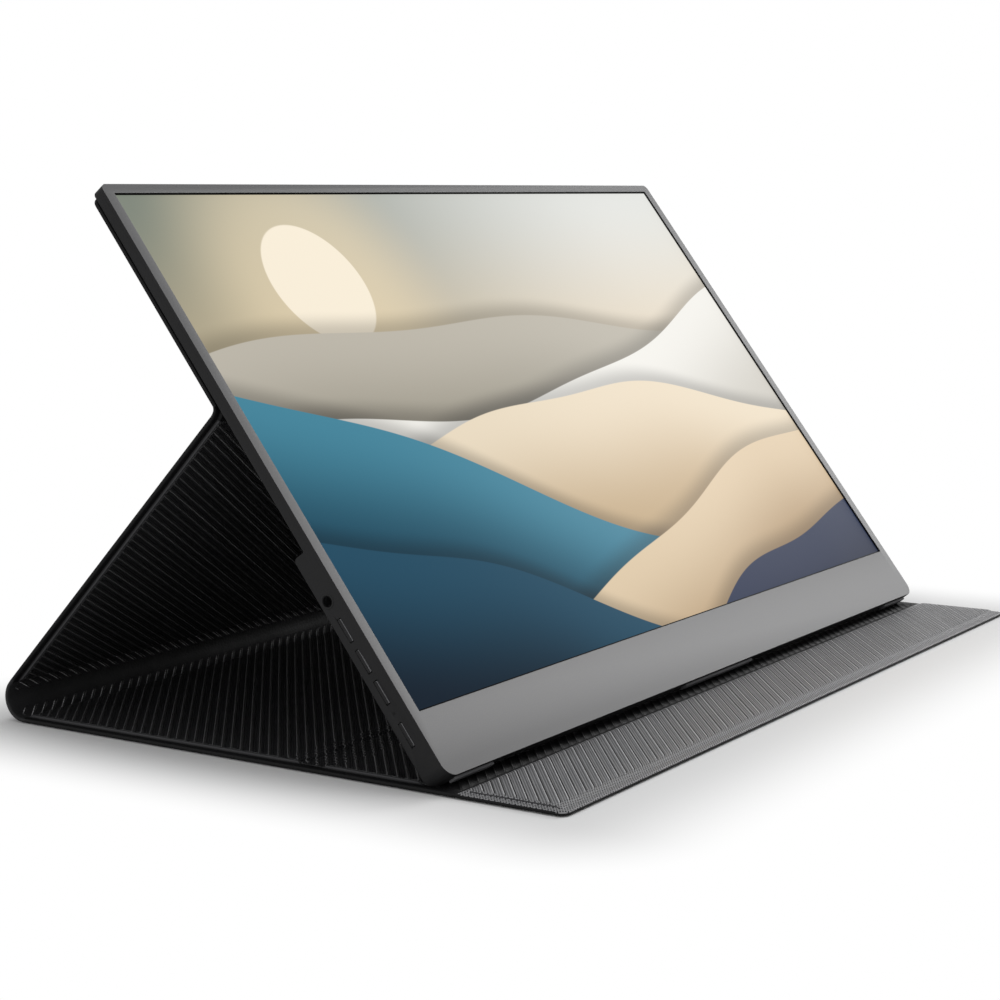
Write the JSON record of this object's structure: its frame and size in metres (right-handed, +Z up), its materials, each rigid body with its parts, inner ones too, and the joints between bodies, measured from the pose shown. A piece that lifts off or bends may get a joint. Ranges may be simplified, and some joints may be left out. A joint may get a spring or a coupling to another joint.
{
  "type": "portable monitor",
  "caption": "Slim portable monitor standing at a lean in a folding cover whose ribbed panels form a triangular prop, with side keys and a front flap.",
  "frame": {"origin": "middle of the footprint, on the surface that the cover lies on", "axes": "+Z up, the screen faces -Y and leans back, +X to the right along the screen as the viewer sees it"},
  "size_m": [0.3552, 0.2264, 0.1821],
  "materials": {
    "leather": "grained",
    "ribbed_lining": "ribbed",
    "board": "matte",
    "magnet": "plain",
    "grey_frame": "satin",
    "housing": "matte",
    "button": "matte",
    "screen_glass": "satin",
    "light_plastic": "clear",
    "backlight": "plain",
    "tray_metal": "plain",
    "rubber": "matte",
    "circuit_board": "satin",
    "black_plastic": "matte",
    "flex": "satin",
    "battery": "satin"
  },
  "bodies": {
    "cover_base": {"base_skin": "leather", "base_lining": "ribbed_lining", "middle_base_board": "board", "rear_base_board": "board", "spine_skin": "leather", "spine_lining": "ribbed_lining"},
    "front_flap": {"flap_skin": "leather", "flap_lining": "ribbed_lining", "flap_board": "board"},
    "prop_panel": {"prop_skin": "leather", "prop_lining": "ribbed_lining", "prop_board": "board", "top_fold_band": "ribbed_lining"},
    "top_panel": {"top_skin": "leather", "top_lining": "ribbed_lining", "top_board": "board", "cover_magnets": "magnet"},
    "monitor": {"front_frame": "grey_frame", "lcd_panel": "screen_glass", "diffuser_films": "light_plastic", "light_guide": "light_plastic", "backlight_led_bar": "backlight", "backlight_tray": "tray_metal", "rear_housing": "housing", "rubber_feet": "rubber", "button_board": "circuit_board", "button_switches": "black_plastic", "led_light_pipe": "light_plastic", "audio_jack": "black_plastic", "hdmi_port": "tray_metal", "usb_c_port_1": "tray_metal", "usb_c_port_2": "tray_metal", "main_board": "circuit_board", "board_chips": "black_plastic", "board_screws": "magnet", "panel_driver_board": "circuit_board", "panel_flexes": "flex", "panel_cable": "flex", "battery_pack": "battery", "left_speaker": "black_plastic", "right_speaker": "black_plastic", "steel_hold_plates": "magnet"},
    "menu_button_1": {"menu_button_1": "button"},
    "menu_button_2": {"menu_button_2": "button"},
    "menu_button_3": {"menu_button_3": "button"},
    "power_button": {"power_button": "button"}
  },
  "joints": [
    {"name": "spine_hinge", "type": "hinge", "parent": "cover_base", "child": "prop_panel", "pos_m": [0, 0.11459, 0.00406], "axis": [-1, 0, 0], "range_deg": [0, 125]},
    {"name": "top_fold_hinge", "type": "hinge", "parent": "prop_panel", "child": "top_panel", "pos_m": [0, 0.01364, 0.11107], "axis": [1, 0, 0], "range_deg": [0, 72.56]},
    {"name": "flap_hinge", "type": "hinge", "parent": "cover_base", "child": "front_flap", "pos_m": [0, -0.07445, 0.0007], "axis": [-1, 0, 0], "range_deg": [0, 90]},
    {"name": "monitor_lift", "type": "slide", "parent": "top_panel", "child": "monitor", "axis": [0, 0, 1], "range_m": [0, 0.12]},
    {"name": "menu_button_1_press", "type": "slide", "parent": "monitor", "child": "menu_button_1", "axis": [1, 0, 0], "range_m": [0, 0.0004], "stiffness_N_per_m": 600},
    {"name": "menu_button_2_press", "type": "slide", "parent": "monitor", "child": "menu_button_2", "axis": [1, 0, 0], "range_m": [0, 0.0004], "stiffness_N_per_m": 600},
    {"name": "menu_button_3_press", "type": "slide", "parent": "monitor", "child": "menu_button_3", "axis": [1, 0, 0], "range_m": [0, 0.0004], "stiffness_N_per_m": 600},
    {"name": "power_button_press", "type": "slide", "parent": "monitor", "child": "power_button", "axis": [1, 0, 0], "range_m": [0, 0.0004], "stiffness_N_per_m": 600}
  ],
  "couplings": [
    {"joint": "top_fold_hinge", "follows": "spine_hinge", "ratio": 0.5765}
  ]
}
